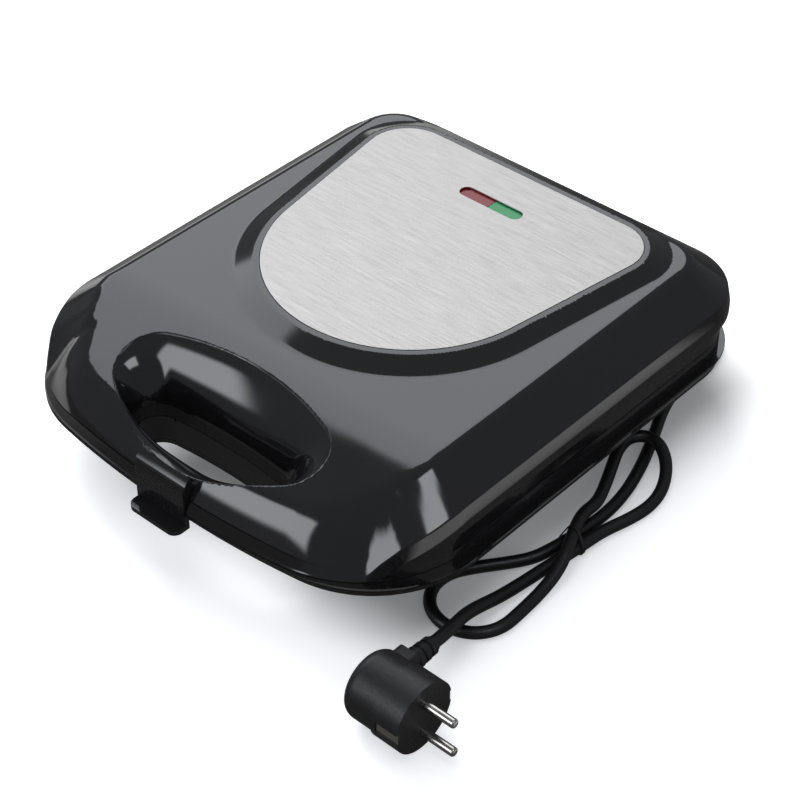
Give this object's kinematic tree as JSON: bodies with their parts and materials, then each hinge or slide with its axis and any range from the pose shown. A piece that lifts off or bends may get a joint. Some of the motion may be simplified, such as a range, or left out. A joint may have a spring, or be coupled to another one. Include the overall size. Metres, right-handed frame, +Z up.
{
  "type": "walnut cake maker",
  "caption": "Countertop walnut cake maker with a hinged glossy lid, steel panel with indicator lamps, hand hole, front latch, moulded baking plates and a tied supply cord with plug.",
  "frame": {"origin": "centre of the underside of the feet, below the middle of the appliance without its cord", "axes": "+Z up, -Y towards the front with the hand hole and latch, +X to the right seen from the front"},
  "size_m": [0.3273, 0.3643, 0.0912],
  "materials": {
    "gloss_black": "high gloss",
    "satin_black": "satin",
    "steel": "polished",
    "red": "clear tinted",
    "green": "clear tinted",
    "coated": "non-stick coated cast alloy",
    "heater": "oxidised steel tube",
    "ceramic": "ceramic",
    "pan": "bright sheet",
    "screw": "zinc plated",
    "board": "circuit board",
    "lamp_glass": "clear glass",
    "feet": "matt",
    "cord": "satin sheath",
    "tie": "coated wire",
    "brass": "plated",
    "pin_metal": "nickel plated"
  },
  "bodies": {
    "base": {"hinge_pins": "screw", "lower_plate": "coated", "lower_heater": "heater", "lower_heater_ends": "ceramic", "lower_heater_saddles": "pan", "lower_reflector": "pan", "lower_plate_screws": "screw", "base_shell": "gloss_black", "catch_block": "gloss_black", "base_cover": "satin_black", "base_screws": "screw", "base_feet": "feet", "thermostat": "pan", "thermal_fuse": "ceramic", "terminal_block": "ceramic", "cord_gland": "cord", "cord_lead": "cord", "cord_hank": "cord", "cord_plug_lead": "cord", "cord_tie": "tie", "plug_body": "cord", "plug_pins": "pin_metal", "plug_earth_clips": "brass"},
    "lid": {"lid_shell": "gloss_black", "lid_liner": "satin_black", "lid_screws": "screw", "steel_panel": "steel", "red_lens": "red", "green_lens": "green", "lamp_board": "board", "red_lamp": "lamp_glass", "green_lamp": "lamp_glass", "upper_plate": "coated", "upper_plate_screws": "screw", "upper_heater": "heater", "upper_heater_ends": "ceramic", "upper_heater_saddles": "pan", "upper_reflector": "pan", "latch_pin": "screw"},
    "latch": {"latch": "gloss_black"}
  },
  "joints": [
    {"name": "lid_hinge", "type": "hinge", "parent": "base", "child": "lid", "pos_m": [0, 0.162, 0.044], "axis": [-1, 0, 0], "range_deg": [0, 100]},
    {"name": "latch_swing", "type": "hinge", "parent": "lid", "child": "latch", "pos_m": [0, -0.1522, 0.0558], "axis": [-1, 0, 0], "range_deg": [0, 18]}
  ]
}
